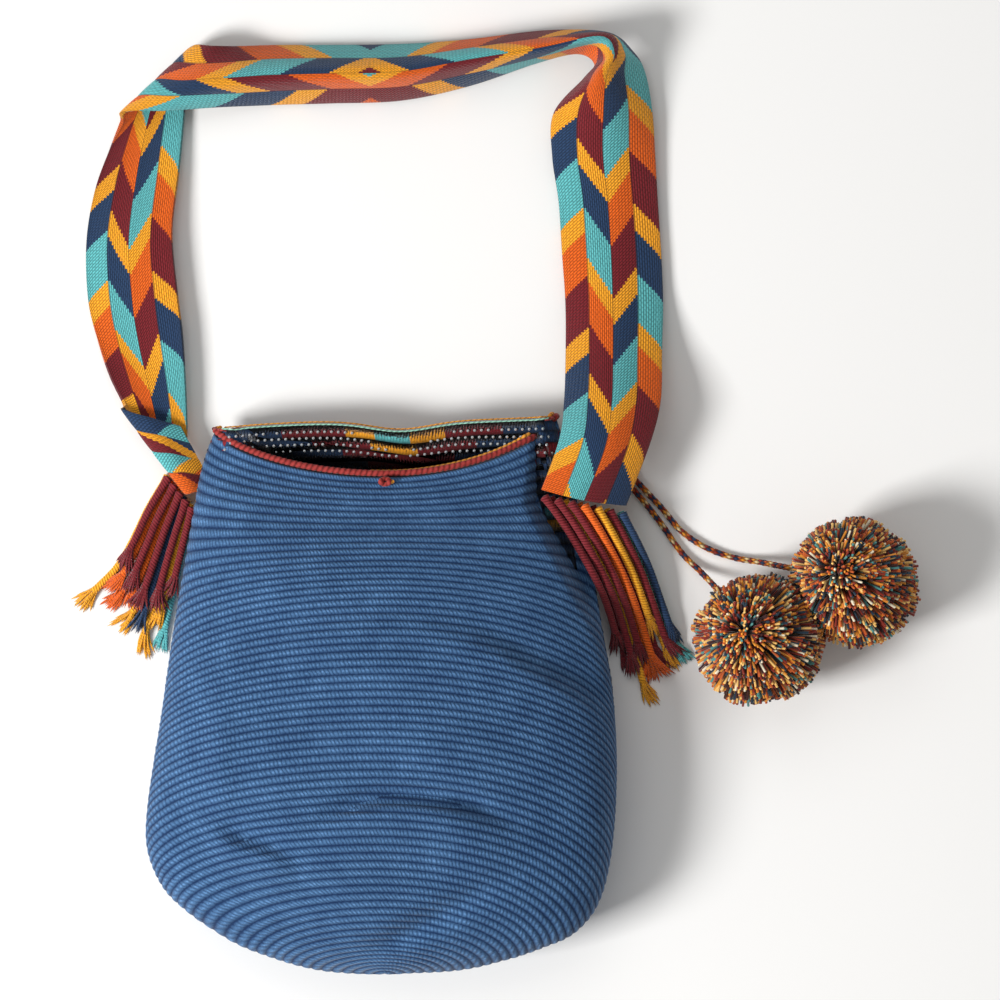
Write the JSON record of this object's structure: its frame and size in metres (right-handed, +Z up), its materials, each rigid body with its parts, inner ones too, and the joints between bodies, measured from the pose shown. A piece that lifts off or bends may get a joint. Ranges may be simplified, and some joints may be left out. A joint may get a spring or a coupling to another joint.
{
  "type": "crocheted mochila bag",
  "caption": "Crocheted bucket bag lying on its back, with a patterned woven shoulder strap, fringed strap ends and a drawstring that ends in pompoms.",
  "frame": {"origin": "middle of the flat underside of the pouch, where it rests on the table", "axes": "+X across the bag towards the pompoms, +Y from the base towards the strap, +Z up"},
  "size_m": [0.5007, 0.5669, 0.0923],
  "materials": {
    "crochet_blue": "tight crochet, matt cotton",
    "edging_maroon": "crocheted edging, matt",
    "strap_weave": "warp-faced woven band, five colours",
    "fringe_maroon": "twisted cotton cord",
    "fringe_orange": "twisted cotton cord",
    "fringe_amber": "twisted cotton cord",
    "fringe_navy": "twisted cotton cord",
    "fringe_turquoise": "twisted cotton cord",
    "cord_braid": "four-colour braid",
    "pompom_yarn": "cut yarn, mixed colours"
  },
  "bodies": {
    "root": {"bag_body": "crochet_blue", "rim_edging": "edging_maroon", "edging_knot": "edging_maroon", "strap": "strap_weave", "fringe_left_01": "fringe_amber", "fringe_left_02": "fringe_orange", "fringe_left_03": "fringe_amber", "fringe_left_04": "fringe_amber", "fringe_left_05": "fringe_turquoise", "fringe_left_06": "fringe_orange", "fringe_left_07": "fringe_orange", "fringe_left_08": "fringe_navy", "fringe_left_09": "fringe_amber", "fringe_left_10": "fringe_maroon", "fringe_left_11": "fringe_maroon", "fringe_left_12": "fringe_maroon", "fringe_left_13": "fringe_maroon", "fringe_left_14": "fringe_maroon", "fringe_right_01": "fringe_maroon", "fringe_right_02": "fringe_amber", "fringe_right_03": "fringe_orange", "fringe_right_04": "fringe_maroon", "fringe_right_05": "fringe_amber", "fringe_right_06": "fringe_turquoise", "fringe_right_07": "fringe_maroon", "fringe_right_08": "fringe_maroon", "fringe_right_09": "fringe_maroon", "fringe_right_10": "fringe_orange", "fringe_right_11": "fringe_amber", "fringe_right_12": "fringe_maroon", "fringe_right_13": "fringe_navy", "drawstring_cord_a": "cord_braid", "drawstring_cord_b": "cord_braid", "pompom_a": "pompom_yarn", "pompom_b": "pompom_yarn"}
  },
  "joints": []
}
